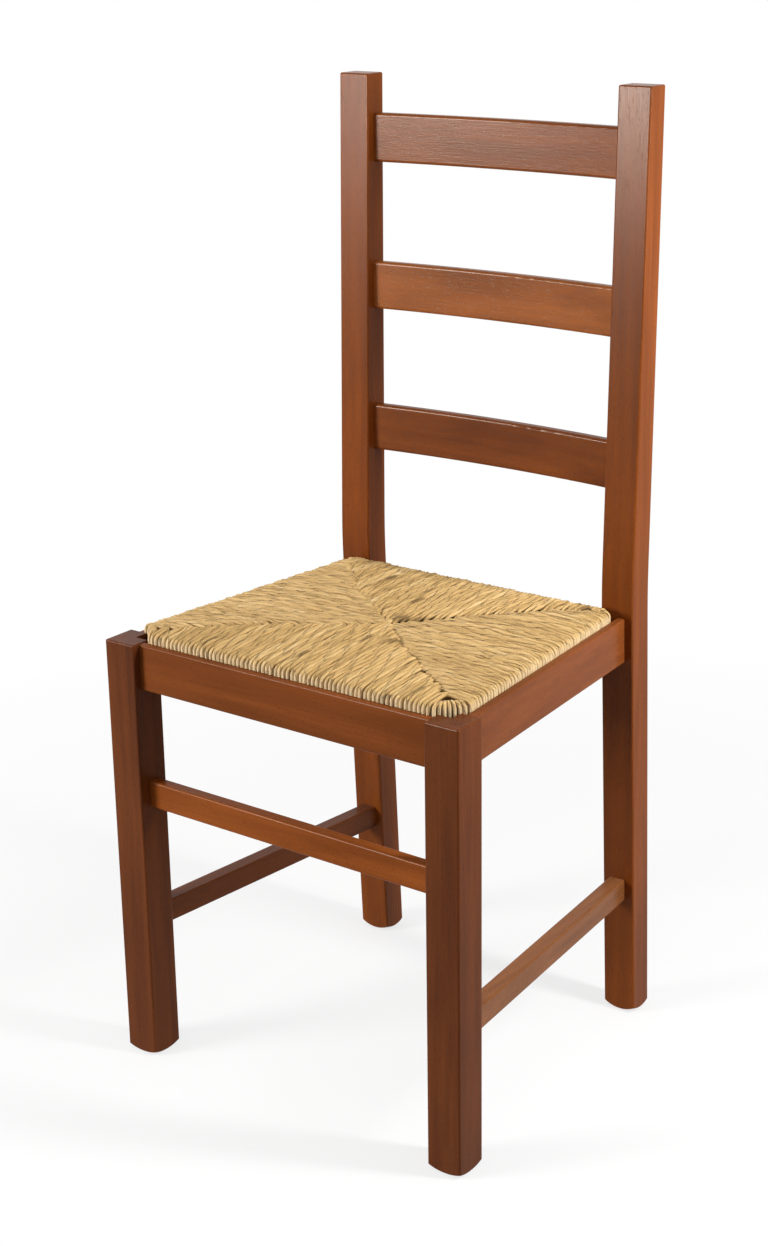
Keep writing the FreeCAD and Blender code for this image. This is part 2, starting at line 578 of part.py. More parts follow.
def stretcher_line(inset, place):
    """Half the width, at a place along Y, of a line that runs beside the side stretcher."""
    slope = f"(({STRETCHER_FRONT} - {STRETCHER_REAR}) / ({STRETCHER_END} - {LEG_BACK}))"
    return f"({STRETCHER_FRONT} - {inset} - {slope} * ({place} - {LEG_BACK}))"


for name, side in SIDES:
    stretcher = new_body(f"side_stretcher_{name}")
    thick = "Dims.side_stretcher_thick"
    plan = [
        (stretcher_line(thick, LEG_BACK), LEG_BACK),
        (stretcher_line(0, LEG_BACK), LEG_BACK),
        (stretcher_line(0, BAR_FAR), BAR_FAR),
        (stretcher_line(thick, BAR_FAR), BAR_FAR),
    ]
    prism(stretcher, "bar", "XY_Plane", mirrored_points(side, plan), *SIDE_STRETCHER_Z)
    slant_cut(stretcher, "shoulder", SIDE_STRETCHER_Z)
    round_edges(stretcher, "long_edges", "Dims.stretcher_ease", lambda edge: runs(edge, Y))
    along = (STRETCHER_TENON_Y[0], f"{LEG_BACK} + Dims.overcut")
    block(stretcher, "front_tenon", mirrored(side, STRETCHER_TENON_X), along, STRETCHER_TENON_Z)
    along = (f"{STRETCHER_END} - Dims.overcut", STRETCHER_END_Y[1])
    block(stretcher, "rear_tenon", mirrored(side, STRETCHER_END_X), along, STRETCHER_TENON_Z)

# The slats themselves, each sawn to a slow curve and eased along its long edges.
for name, step in SLATS:
    slat = new_body(name)
    front, back = slat_y(step)
    plan = [(f"-({POST_IN})", front), (POST_IN, front), (POST_IN, back), (f"-({POST_IN})", back)]
    bows = {0: (1, SLAT_RADIUS), 2: (-1, SLAT_RADIUS)}
    prism(slat, "bowed_bar", "XY_Plane", plan, *slat_z(step), bows=bows)
    round_edges(slat, "long_edges", "Dims.slat_ease", lambda edge: edge.Curve.TypeId == "Part::GeomCircle")
    along = inside(slat_y(step), "Dims.slat_shoulder")
    up = inside(slat_z(step), "Dims.slat_shoulder")
    for end, side in SIDES:
        across = mirrored(side, (f"{POST_IN} - Dims.overcut", SLAT_TENON_X[1]))
        block(slat, f"{end}_tenon", across, along, up)

# Where the seat screws stand: through the corner blocks into the seat frame.
SCREW_PLACES = [
    ("front", f"({LEG_IN} - Dims.screw_inset)", f"({RAIL_BACK} + Dims.front_screw_inset)"),
    ("rear", f"({POST_IN} - Dims.screw_inset)", f"({RUSH_REAR} - Dims.rush_wrap - Dims.rear_screw_inset)"),
]
BLOCK_BOTTOM = f"({LEDGE} - Dims.block_depth)"
SCREW_TIP = f"({BLOCK_BOTTOM} + Dims.screw_length)"

# Seat frame: four plain rails inside the rush, the side ones tenoned into the others.
WRAP = "Dims.rush_wrap"
FRONT_FRAME_BACK = f"({RUSH_FRONT} + {WRAP} + Dims.frame_rail_width)"
REAR_FRAME_FACE = f"({RUSH_REAR} - {WRAP} - Dims.frame_rail_width)"
FRAME_MIDDLE = f"({FRAME_BOTTOM} + Dims.frame_rail_depth / 2)"
FRAME_TENON_Z = span(f"{FRAME_MIDDLE} - Dims.frame_tenon_thick / 2", "Dims.frame_tenon_thick")
corners = seat_corners(WRAP)
FRAME_ENDS = (
    ("front", FRONT_FRAME_BACK, (f"{FRONT_FRAME_BACK} - Dims.frame_tenon_reach", FRONT_FRAME_BACK),
     corners[:2] + [(seat_side(WRAP, FRONT_FRAME_BACK), FRONT_FRAME_BACK)]),
    ("rear", REAR_FRAME_FACE, (REAR_FRAME_FACE, f"{REAR_FRAME_FACE} + Dims.frame_tenon_reach"),
     [(seat_side(WRAP, REAR_FRAME_FACE), REAR_FRAME_FACE)] + corners[2:]),
)


def frame_tenon_x(place):
    """The seat frame's side tenon across the chair, at the rail that takes it."""
    edge = seat_side(WRAP, place)
    return (f"{edge} - Dims.frame_rail_width + Dims.frame_tenon_side", f"{edge} - Dims.frame_tenon_side")


for (end, place, reach, points), screw in zip(FRAME_ENDS, SCREW_PLACES):
    rail = new_body(f"seat_frame_{end}_rail")
    prism(rail, "rail", "XY_Plane", both_sides(points), FRAME_BOTTOM, FRAME_TOP)
    for name, side in SIDES:
        mortise(rail, f"{name}_mortise", mirrored(side, frame_tenon_x(place)), reach, FRAME_TENON_Z)
        up = (f"{FRAME_BOTTOM} - Dims.overcut", f"{SCREW_TIP} + Dims.screw_hole_gap")
        hole(rail, f"{name}_screw_hole", (f"{side} * {screw[1]}", screw[2]), up)

for name, side in SIDES:
    rail = new_body(f"seat_frame_{name}_rail")
    inner = f"({WRAP} + Dims.frame_rail_width)"
    plan = [
        (seat_side(inner, FRONT_FRAME_BACK), FRONT_FRAME_BACK),
        (seat_side(WRAP, FRONT_FRAME_BACK), FRONT_FRAME_BACK),
        (seat_side(WRAP, REAR_FRAME_FACE), REAR_FRAME_FACE),
        (seat_side(inner, REAR_FRAME_FACE), REAR_FRAME_FACE),
    ]
    prism(rail, "rail", "XY_Plane", mirrored_points(side, plan), FRAME_BOTTOM, FRAME_TOP)
    for end, place, reach, points in FRAME_ENDS:
        block(rail, f"{end}_tenon", mirrored(side, frame_tenon_x(place)), reach, FRAME_TENON_Z)

# The rush: twisted cord woven round the frame, drawn here as its outer form. Its top rises
# in four flat falls from the edges to the middle, and it is hollow where the frame lies.
rush = new_body("rush_seat")
prism(rush, "edge", "XY_Plane", both_sides(seat_corners("0")), LEDGE, RUSH_EDGE)
round_edges(rush, "corners", "Dims.rush_corner_round", lambda edge: runs(edge, Z))
round_edges(rush, "rolled_edge", "Dims.rush_edge_round", lambda edge: at(edge, Z, RUSH_EDGE))
round_edges(rush, "hem", "Dims.rush_hem_round", lambda edge: at(edge, Z, LEDGE))
SHARE = "Dims.rush_peak_share"
eaves_points = both_sides(seat_corners("Dims.rush_corner_round"))
peak_points = []
for across, along in eaves_points:
    peak_points.append((f"{SHARE} * ({across})", f"{RUSH_MIDDLE} + {SHARE} * (({along}) - {RUSH_MIDDLE})"))
eaves = new_sketch(rush, "eaves", "XY_Plane", RUSH_EDGE)
draw_outline(eaves, eaves_points)
peak = new_sketch(rush, "peak", "XY_Plane", f"{RUSH_EDGE} + Dims.rush_crown")
draw_outline(peak, peak_points)
crown = rush.newObject("PartDesign::AdditiveLoft", "crown")
crown.Profile = eaves
crown.Sections = [peak]
crown.Ruled = True
doc.recompute()

# The hollow for the frame: a ring, a little larger than the frame all round.
hollow_wrap = f"({WRAP} - Dims.frame_gap)"
hollow_inner = f"({WRAP} + Dims.frame_rail_width + Dims.frame_gap)"
hollow_front = f"({FRONT_FRAME_BACK} + Dims.frame_gap)"
hollow_rear = f"({REAR_FRAME_FACE} - Dims.frame_gap)"
core = [
    (seat_side(hollow_inner, hollow_front), hollow_front),
    (seat_side(hollow_inner, hollow_rear), hollow_rear),
]
ring = new_sketch(rush, "frame_hollow_outline", "XY_Plane", f"{FRAME_BOTTOM} - Dims.frame_gap")
draw_outline(ring, both_sides(seat_corners(hollow_wrap)))
draw_outline(ring, both_sides(core))
solid_volume = rush.Shape.Volume
hollow = rush.newObject("PartDesign::Pocket", "frame_hollow")
hollow.Profile = ring
hollow.setExpression("Length", "Dims.frame_rail_depth + 2 * Dims.frame_gap")
hollow.Reversed = True
doc.recompute()
if rush.Shape.Volume >= solid_volume:
    raise ValueError("rush_seat: frame_hollow cuts nothing")
for end, across, along in SCREW_PLACES:
    for name, side in SIDES:
        up = (f"{LEDGE} - Dims.overcut", FRAME_BOTTOM)
        hole(rush, f"{end}_{name}_screw_hole", (f"{side} * {across}", along), up)

# Corner blocks: each fits between two rails, clears the leg or post with a cut nose,
# and has a hole for the screw that holds the seat down.
NOSE = "Dims.block_clear"
SIDE_RAIL_IN = "Dims.rail_thick"
front_nose = f"({LEG_BACK} + {NOSE})"
rear_nose = f"({POST_FACE} - {NOSE})"
front_far = f"({front_nose} + Dims.block_run)"
rear_far = f"({rear_nose} - Dims.block_run)"
BLOCK_PLANS = (
    [
        (f"{LEG_IN} - {NOSE} - Dims.block_run", RAIL_BACK),
        (f"{LEG_IN} - {NOSE}", RAIL_BACK),
        (side_line(SIDE_RAIL_IN, front_nose), front_nose),
        (side_line(SIDE_RAIL_IN, front_far), front_far),
    ],
    [
        (f"{POST_IN} - {NOSE} - Dims.block_run", REAR_RAIL_FACE),
        (f"{POST_IN} - {NOSE}", REAR_RAIL_FACE),
        (side_line(SIDE_RAIL_IN, rear_nose), rear_nose),
        (side_line(SIDE_RAIL_IN, rear_far), rear_far),
    ],
)
for (end, across, along), plan in zip(SCREW_PLACES, BLOCK_PLANS):
    for name, side in SIDES:
        corner = new_body(f"corner_block_{end}_{name}")
        prism(corner, "wedge", "XY_Plane", mirrored_points(side, plan), BLOCK_BOTTOM, LEDGE)
        round_edges(corner, "edges", "Dims.leg_ease", lambda edge: at(edge, Z, BLOCK_BOTTOM))
        up = (f"{BLOCK_BOTTOM} - Dims.overcut", f"{LEDGE} + Dims.overcut")
        hole(corner, "screw_hole", (f"{side} * {across}", along), up)


def primitive(kind, name, sizes, place):
    """A Part primitive with its sizes and its place tied to the sheet."""
    piece = doc.addObject(kind, name)
    for size, text in sizes.items():
        piece.setExpression(size, text)
    for axis, text in zip("xyz", place):
        piece.setExpression(f"Placement.Base.{axis}", text)
    return piece


# Seat screws: round heads with a driver slot, up through the corner blocks.
SHANK_LENGTH = "(Dims.screw_length - Dims.screw_point)"
HEAD_FOOT = f"({BLOCK_BOTTOM} - Dims.screw_head_thick)"
SHANK_SIZES = {"Radius": "Dims.screw_diameter / 2", "Height": SHANK_LENGTH}
POINT_SIZES = {
    "Radius1": "Dims.screw_diameter / 2",
    "Radius2": "Dims.screw_tip_diameter / 2",
    "Height": "Dims.screw_point",
}
HEAD_SIZES = {"Radius": "Dims.screw_head_diameter / 2", "Height": "Dims.screw_head_thick"}
SLOT_SIZES = {
    "Length": "Dims.screw_head_diameter + 2 * Dims.overcut",
    "Width": "Dims.screw_slot_width",
    "Height": "Dims.screw_slot_deep",
}
screws = []
for end, across, along in SCREW_PLACES:
    for name, side in SIDES:
        label = f"{end}_{name}"
        middle = f"{side} * {across}"
        point_foot = f"{BLOCK_BOTTOM} + {SHANK_LENGTH}"
        shank = primitive("Part::Cylinder", f"{label}_shank", SHANK_SIZES, (middle, along, BLOCK_BOTTOM))
        point = primitive("Part::Cone", f"{label}_point", POINT_SIZES, (middle, along, point_foot))
        head = primitive("Part::Cylinder", f"{label}_head", HEAD_SIZES, (middle, along, HEAD_FOOT))
        slot_start = f"{middle} - Dims.screw_head_diameter / 2 - Dims.overcut"
        slot_place = (slot_start, f"{along} - Dims.screw_slot_width / 2", HEAD_FOOT)
        slot = primitive("Part::Box", f"{label}_slot", SLOT_SIZES, slot_place)
        whole = doc.addObject("Part::MultiFuse", f"{label}_whole")
        whole.Shapes = [shank, point, head]
        screw = doc.addObject("Part::Cut", f"{label}_screw")
        screw.Base = whole
        screw.Tool = slot
        screws.append(screw)
seat_screws = doc.addObject("Part::Compound", "seat_screws")
seat_screws.Label = "seat_screws"
seat_screws.Links = screws

doc.recompute()
broken = [item.Name for item in doc.Objects if "Invalid" in item.State or "Error" in item.State]
if broken:
    raise RuntimeError(f"failed objects: {broken}")
nodes = [item for item in doc.Objects if item.isDerivedFrom("PartDesign::Body")] + [seat_screws]
for node in nodes:
    solids = 4 if node is seat_screws else 1
    if node.Shape.isNull() or not node.Shape.isValid() or len(node.Shape.Solids) != solids:
        raise RuntimeError(f"{node.Label} is not a whole solid")

os.makedirs("parts", exist_ok=True)
for node in nodes:
    node.Shape.exportStep(os.path.join("parts", f"{node.Label}.step"))
print(f"{len(nodes)} nodes")
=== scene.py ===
import math
import random

import bmesh
import bpy
import numpy as np
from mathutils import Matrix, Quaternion, Vector


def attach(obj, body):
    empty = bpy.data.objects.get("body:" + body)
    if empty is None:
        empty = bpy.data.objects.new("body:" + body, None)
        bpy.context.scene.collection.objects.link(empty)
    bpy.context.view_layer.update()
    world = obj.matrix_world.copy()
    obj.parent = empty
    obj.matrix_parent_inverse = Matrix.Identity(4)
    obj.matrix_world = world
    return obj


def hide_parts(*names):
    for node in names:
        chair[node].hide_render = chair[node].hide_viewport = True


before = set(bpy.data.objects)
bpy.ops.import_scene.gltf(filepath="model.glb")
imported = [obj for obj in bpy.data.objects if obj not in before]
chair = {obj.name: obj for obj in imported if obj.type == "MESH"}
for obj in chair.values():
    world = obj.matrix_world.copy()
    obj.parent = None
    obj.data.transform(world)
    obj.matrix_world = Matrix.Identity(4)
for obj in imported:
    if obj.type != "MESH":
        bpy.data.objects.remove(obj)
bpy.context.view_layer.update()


# The front legs are square lengths of steamed beech, planed, stained a reddish walnut
# and sprayed with satin varnish. Their feet are rounded under so that they don't splinter.
def put(tree, kind, inputs=None, **settings):
    """Adds a shader node, with each input linked from a socket or set to a value."""
    node = tree.nodes.new("ShaderNode" + kind)
    for name, value in settings.items():
        setattr(node, name, value)
    for name, value in (inputs or {}).items():
        if isinstance(value, bpy.types.NodeSocket):
            tree.links.new(value, node.inputs[name])
        else:
            node.inputs[name].default_value = value
    return node


def combined(tree, operation, first, second=0.0, clamp=False):
    """Two values added, multiplied or otherwise worked together by a Math node."""
    return put(tree, "Math", {0: first, 1: second}, operation=operation, use_clamp=clamp).outputs[0]


def ramp(tree, value, low, high, start=0.0, finish=1.0):
    """A value carried from one range to another and held at its ends."""
    wanted = {"Value": value, "From Min": low, "From Max": high, "To Min": start, "To Max": finish}
    return put(tree, "MapRange", wanted).outputs["Result"]


def blended(tree, share, first, second, mode="MIX"):
    """Two colours mixed."""
    node = put(tree, "Mix", data_type="RGBA", blend_type=mode)
    for socket, value in ((node.inputs[0], share), (node.inputs[6], first), (node.inputs[7], second)):
        if isinstance(value, bpy.types.NodeSocket):
            tree.links.new(value, socket)
        else:
            socket.default_value = value
    return node.outputs[2]


def noise(tree, vector, scale, detail=2.0, distortion=0.0):
    """Soft noise from 0 to 1 over a piece's coordinates."""
    wanted = {"Vector": vector, "Scale": scale, "Detail": detail, "Distortion": distortion}
    return put(tree, "TexNoise", wanted).outputs["Fac"]


def stretched(tree, vector, along):
    """Coordinates drawn out along the grain."""
    return put(tree, "Mapping", {"Vector": vector, "Scale": (1.0, 1.0, along)}).outputs["Vector"]


def new_group(name, inputs, outputs):
    """A shader node group with its sockets, and its two end nodes."""
    tree = bpy.data.node_groups.new(name, "ShaderNodeTree")
    for direction, sockets in (("INPUT", inputs), ("OUTPUT", outputs)):
        for socket, kind in sockets:
            tree.interface.new_socket(socket, in_out=direction, socket_type="NodeSocket" + kind)
    return tree, tree.nodes.new("NodeGroupInput").outputs, tree.nodes.new("NodeGroupOutput").inputs


# Beech grain runs along Z: soft bands of tone, fine pore lines, the short dark flecks of
# beech's rays, and the blotches that stain leaves where the wood drinks it unevenly.
beech, given, result = new_group(
    "beech_grain",
    (("Vector", "Vector"), ("Pale", "Color"), ("Deep", "Color"), ("Blotch", "Float")),
    (("Color", "Color"), ("Roughness", "Float"), ("Height", "Float")),
)
BAND_SCALE = 62.0
LINE_SCALE = 820.0
RAY_SCALE = 1150.0
BLOTCH_SCALE = 11.0
PORE_BROWN = (0.02, 0.006, 0.003, 1.0)
bands = noise(beech, stretched(beech, given["Vector"], 0.05), BAND_SCALE, 3.0, 0.5)
lines = noise(beech, stretched(beech, given["Vector"], 0.018), LINE_SCALE, 2.0)
rays = noise(beech, stretched(beech, given["Vector"], 0.22), RAY_SCALE, 1.0)
flecks = ramp(beech, rays, 0.63, 0.72)
blotches = noise(beech, stretched(beech, given["Vector"], 0.45), BLOTCH_SCALE, 2.0)
band_tone = ramp(beech, bands, 0.3, 0.7, -0.5, 0.5)
blotch_tone = combined(beech, "MULTIPLY", ramp(beech, blotches, 0.3, 0.7, -0.5, 0.5), given["Blotch"])
tone = combined(beech, "ADD", combined(beech, "MULTIPLY", band_tone, 0.7), blotch_tone)
tone = combined(beech, "ADD", tone, 0.5, clamp=True)
stain = blended(beech, tone, given["Deep"], given["Pale"])
line_shade = ramp(beech, lines, 0.35, 0.7, 0.22, 0.0)
shade = combined(beech, "ADD", line_shade, combined(beech, "MULTIPLY", flecks, 0.3), clamp=True)
stain = blended(beech, shade, stain, PORE_BROWN)
beech.links.new(stain, result["Color"])
beech.links.new(ramp(beech, lines, 0.3, 0.7, 0.3, 0.23), result["Roughness"])
relief = combined(beech, "SUBTRACT", lines, combined(beech, "MULTIPLY", flecks, 0.5))
beech.links.new(relief, result["Height"])

GRAIN_TURNS = {
    "up": (0.0, 0.0, 0.0),
    "across": (0.0, math.pi / 2, 0.0),
    "back": (math.pi / 2, 0.0, 0.0),
}


def beech_material(name, pale, deep, grain, blotch=0.5, sheen=0.08):
    """Stained and varnished beech with its grain up, across or back."""
    material = bpy.data.materials.new(name)
    material.use_nodes = True
    tree = material.node_tree
    place = put(tree, "TexCoord").outputs["Object"]
    turned = put(tree, "Mapping", {"Vector": place, "Rotation": GRAIN_TURNS[grain]}).outputs["Vector"]
    wood = put(tree, "Group", node_tree=beech)
    tree.links.new(turned, wood.inputs["Vector"])
    wood.inputs["Pale"].default_value = (*pale, 1.0)
    wood.inputs["Deep"].default_value = (*deep, 1.0)
    wood.inputs["Blotch"].default_value = blotch
    relief = {"Height": wood.outputs["Height"], "Strength": 0.25, "Distance": 0.0003}
    bump = put(tree, "Bump", relief).outputs["Normal"]
    surface = tree.nodes["Principled BSDF"]
    tree.links.new(wood.outputs["Color"], surface.inputs["Base Color"])
    tree.links.new(wood.outputs["Roughness"], surface.inputs["Roughness"])
    tree.links.new(bump, surface.inputs["Normal"])
    surface.inputs["Specular IOR Level"].default_value = sheen
    return material


def finish_nodes(material, *names):
    """Gives nodes of the chair their material."""
    for name in names:
        chair[name].data.materials.clear()
        chair[name].data.materials.append(material)


LEG_PALE = (0.193, 0.052, 0.0128)
LEG_DEEP = (0.106, 0.028, 0.0080)
leg_beech = beech_material("leg_beech", LEG_PALE, LEG_DEEP, "up", blotch=0.7, sheen=0.06)
finish_nodes(leg_beech, "front_leg_left", "front_leg_right")

# The rear posts run in one piece from the floor to the top of the back, sawn with a
# slight kick below the seat, then stained and varnished like the legs.
POST_PALE = (0.29, 0.071, 0.0100)
POST_DEEP = (0.17, 0.041, 0.0063)
post_beech = beech_material("post_beech", POST_PALE, POST_DEEP, "up", blotch=0.6)
finish_nodes(post_beech, "rear_post_left", "rear_post_right")

# The seat rails are tenoned into the legs and posts. The front and side ones are rebated
# inside, and the seat drops in behind their rounded top edges.
RAIL_PALE = (0.292, 0.078, 0.0170)
RAIL_DEEP = (0.174, 0.046, 0.0102)
across_rail_beech = beech_material("across_rail_beech", RAIL_PALE, RAIL_DEEP, "across", sheen=0.04)
finish_nodes(across_rail_beech, "front_seat_rail", "rear_seat_rail")
side_rail_beech = beech_material("side_rail_beech", RAIL_PALE, RAIL_DEEP, "back", sheen=0.06)
finish_nodes(side_rail_beech, "side_seat_rail_left", "side_seat_rail_right")

# The stretchers are slimmer bars tenoned between the legs: a high one in front, a low
# one on each side. The stain took lighter on the front one. The one on the sitter's left
# is painted paler and greyer, a painted reflection of the white room on its outer face.
FRONT_BAR_PALE = (0.38, 0.10, 0.018)
FRONT_BAR_DEEP = (0.24, 0.060, 0.010)
front_bar_beech = beech_material("front_bar_beech", FRONT_BAR_PALE, FRONT_BAR_DEEP, "across", sheen=0.05)
finish_nodes(front_bar_beech, "front_stretcher")
# Painted reflection: this paler, greyer tone stands in for the white room reflected on the outer face of
# the stretcher on the sitter's left.
SIDE_BAR_REFLECTION_PALE = (0.33, 0.118, 0.037)
SIDE_BAR_REFLECTION_DEEP = (0.2, 0.069, 0.021)
side_bar_reflection_beech = beech_material("side_bar_reflection_beech", SIDE_BAR_REFLECTION_PALE, SIDE_BAR_REFLECTION_DEEP, "back")
finish_nodes(side_bar_reflection_beech, "side_stretcher_left")
dark_bar_beech = beech_material("dark_bar_beech", LEG_PALE, LEG_DEEP, "back")
finish_nodes(dark_bar_beech, "side_stretcher_right")

# The three slats of the back are sawn to a slow curve from wide boards, so their faces
# show more of the blotchy figure than the narrow pieces do. The middle one is the palest.
SLAT_PALE = (0.31, 0.083, 0.0155)
SLAT_DEEP = (0.185, 0.048, 0.0095)
slat_beech = beech_material("slat_beech", SLAT_PALE, SLAT_DEEP, "across", blotch=1.0)
finish_nodes(slat_beech, "top_slat")
MIDDLE_PALE = (0.41, 0.12, 0.025)
MIDDLE_DEEP = (0.25, 0.069, 0.013)
pale_slat_beech = beech_material("pale_slat_beech", MIDDLE_PALE, MIDDLE_DEEP, "across", blotch=1.1)
finish_nodes(pale_slat_beech, "middle_slat")
LOWER_PALE = (0.26, 0.067, 0.0115)
LOWER_DEEP = (0.155, 0.038, 0.007)
dark_slat_beech = beech_material("dark_slat_beech", LOWER_PALE, LOWER_DEEP, "across", blotch=1.0)
finish_nodes(dark_slat_beech, "lower_slat")

# Under the rush and inside the rails the wood is bare: a plain frame that the rush is
# woven on, and four corner blocks that it is screwed to.
BARE_PALE = (0.56, 0.39, 0.22)
BARE_DEEP = (0.42, 0.27, 0.14)
bare_across = beech_material("bare_across", BARE_PALE, BARE_DEEP, "across", sheen=0.05)
finish_nodes(bare_across, "seat_frame_front_rail", "seat_frame_rear_rail")
for end in ("front", "rear"):
    for side in ("left", "right"):
        finish_nodes(bare_across, f"corner_block_{end}_{side}")
bare_back = beech_material("bare_back", BARE_PALE, BARE_DEEP, "back", sheen=0.05)
finish_nodes(bare_back, "seat_frame_left_rail", "seat_frame_right_rail")

# Four zinc plated steel screws go up through the corner blocks into the seat frame and
# hold the seat down. Their plating is a little cloudy.
ZINC_DULL = (0.5, 0.5, 0.48, 1.0)
ZINC_BRIGHT = (0.72, 0.72, 0.68, 1.0)
zinc = bpy.data.materials.new("zinc_plate")
zinc.use_nodes = True
zinc_tree = zinc.node_tree
zinc_surface = zinc_tree.nodes["Principled BSDF"]
zinc_place = put(zinc_tree, "TexCoord").outputs["Object"]
zinc_clouds = noise(zinc_tree, zinc_place, 900.0, 3.0)
zinc_tint = blended(zinc_tree, zinc_clouds, ZINC_DULL, ZINC_BRIGHT)
zinc_roughness = ramp(zinc_tree, zinc_clouds, 0.3, 0.7, 0.28, 0.45)
zinc_tree.links.new(zinc_tint, zinc_surface.inputs["Base Color"])
zinc_tree.links.new(zinc_roughness, zinc_surface.inputs["Roughness"])
zinc_surface.inputs["Metallic"].default_value = 1.0
finish_nodes(zinc, "seat_screws")


# The rush seat: a single cord of twisted rush goes over each rail of the seat frame in
# turn, so the strands lie square to the four rails and dive at the seams between them.
# They wrap the rails a little thinner than they lie on top.
STRAND_PITCH = 0.0051
STRAND_RADIUS = 0.00238
WRAP_GIRTH = 0.9
FRONT_EDGE = -0.1835
REAR_EDGE = 0.1435
WIDEST_AT = -0.1625
SEAT_HALF_WIDTH = 0.198
SIDE_TAPER = 0.0942
SEAT_UNDERSIDE = 0.4412
SEAT_EDGE_TOP = 0.4702
CROWN_RISE = 0.0045
TOP_ROLL = 0.0075
TOP_ROLL_STEPS = 5
HEM_ROLL = 0.0045
HEM_ROLL_STEPS = 3
CROWN_REACH = 0.13
MIDDLE = (0.012, -0.030)
SEAMS = {
    ("front", "left"): (
        (0.178, -0.160),
        (0.150, -0.139),
        (0.119, -0.1165),
        (0.072, -0.0825),
        (0.025, -0.040),
        MIDDLE,
    ),
    ("front", "right"): (
        (-0.178, -0.166),
        (-0.158, -0.1545),
        (-0.093, -0.1015),
        (-0.026, -0.0605),
        MIDDLE,
    ),
    ("rear", "left"): (
        (0.161, 0.130),
        (0.120, 0.102),
        (0.080, 0.052),
        (0.045, 0.008),
        MIDDLE,
    ),
    ("rear", "right"): (
        (-0.161, 0.130),
        (-0.120, 0.082),
        (-0.080, 0.038),
        (-0.040, 0.006),
        MIDDLE,
    ),
}
# For each seam, how deep its strands go down and the share of them that leave a gap.
SEAM_DIVES = {
    ("front", "left"): (0.45, 0.4),
    ("rear", "left"): (1.0, 0.92),
    ("front", "right"): (0.15, 0.08),
    ("rear", "right"): (0.3, 0.2),
}
OPEN_DIVE = 0.9
OPEN_GAP = 0.016
CLOSE_GAP = 0.006
SEAM_STRAY = 0.0014
UNDER_SPACING = 0.02
TOP_SPACING = 0.006
SLOW_WAVES = (60.0, 120.0)
QUICK_WAVES = (180.0, 300.0)
FRONT_CORNER = (0.172, -0.1575)
REAR_CORNER = (0.1572, 0.1315)
weaver = random.Random(7885)


def side_edge(y):
    """Half the seat's width, which narrows towards the back."""
    return SEAT_HALF_WIDTH - SIDE_TAPER * (y - WIDEST_AT)


def top_at(x, y):
    """The height of the seat's top, crowned towards the middle."""
    inset = min(y - FRONT_EDGE, REAR_EDGE - y, side_edge(y) - abs(x))
    share = min(max(inset / CROWN_REACH, 0.0), 1.0)
    return SEAT_EDGE_TOP + CROWN_RISE * (1.0 - (1.0 - share) ** 2)


def strand_place(edge, along, inward):
    """A plan point on a strand, from how far along its rail it is and how far in from it."""
    if edge == "front":
        return (along, FRONT_EDGE + inward)
    if edge == "rear":
        return (along, REAR_EDGE - inward)
    sign = 1.0 if edge == "left" else -1.0
    return (sign * (side_edge(along) - inward), along)


def seam_depth(edge, along):
    """How far in from its rail a strand runs before it reaches the seam."""
    if edge in ("front", "rear"):
        points = sorted(SEAMS[edge, "left"] + SEAMS[edge, "right"])
        y = float(np.interp(along, [p[0] for p in points], [p[1] for p in points]))
        return y - FRONT_EDGE if edge == "front" else REAR_EDGE - y
    sign = 1.0 if edge == "left" else -1.0
    points = sorted((p[1], sign * p[0]) for p in SEAMS["front", edge] + SEAMS["rear", edge])
    x = float(np.interp(along, [p[0] for p in points], [p[1] for p in points]))
    return side_edge(along) - x


def over_edge(radius):
    """The strand's line in section from under the seat's edge to its top, as inset and height."""
    line = []
    for step in range(HEM_ROLL_STEPS + 1):
        turn = math.pi / 2 * step / HEM_ROLL_STEPS
        reach = HEM_ROLL - radius
        line.append((HEM_ROLL - reach * math.sin(turn), SEAT_UNDERSIDE + HEM_ROLL - reach * math.cos(turn)))
    line.append((radius, (SEAT_UNDERSIDE + SEAT_EDGE_TOP) / 2))
    for step in range(TOP_ROLL_STEPS + 1):
        turn = math.pi / 2 * step / TOP_ROLL_STEPS
        reach = TOP_ROLL - radius
        line.append((TOP_ROLL - reach * math.cos(turn), SEAT_EDGE_TOP - TOP_ROLL + reach * math.sin(turn)))
    return line


def strand_end(edge, along, depth):
    """Where a strand goes down at the seam: its inset, how far it sinks and its girth there."""
    if edge in ("front", "rear"):
        seam = (edge, "left" if along > MIDDLE[0] else "right")
    else:
        seam = ("front" if along < MIDDLE[1] else "rear", edge)
    dive, gap_share = SEAM_DIVES[seam]
    if edge in ("front", "rear") and weaver.random() < gap_share:
        back = weaver.uniform(0.6, 1.0) * (OPEN_GAP if dive > OPEN_DIVE else CLOSE_GAP)
        return [
            (depth - back, -0.0002, 0.82),
            (depth - back * 0.65, -0.0008, 0.6),
            (depth - back * 0.3, -0.0024, 0.46),
            (depth, -0.0085, 0.4),
        ]
    return [
        (depth - 0.004, -0.0008 * dive, 1.0),
        (depth, -0.0032 * dive, 0.92),
        (depth + 0.0026, -0.0045 - 0.0035 * dive, 0.8),
    ]


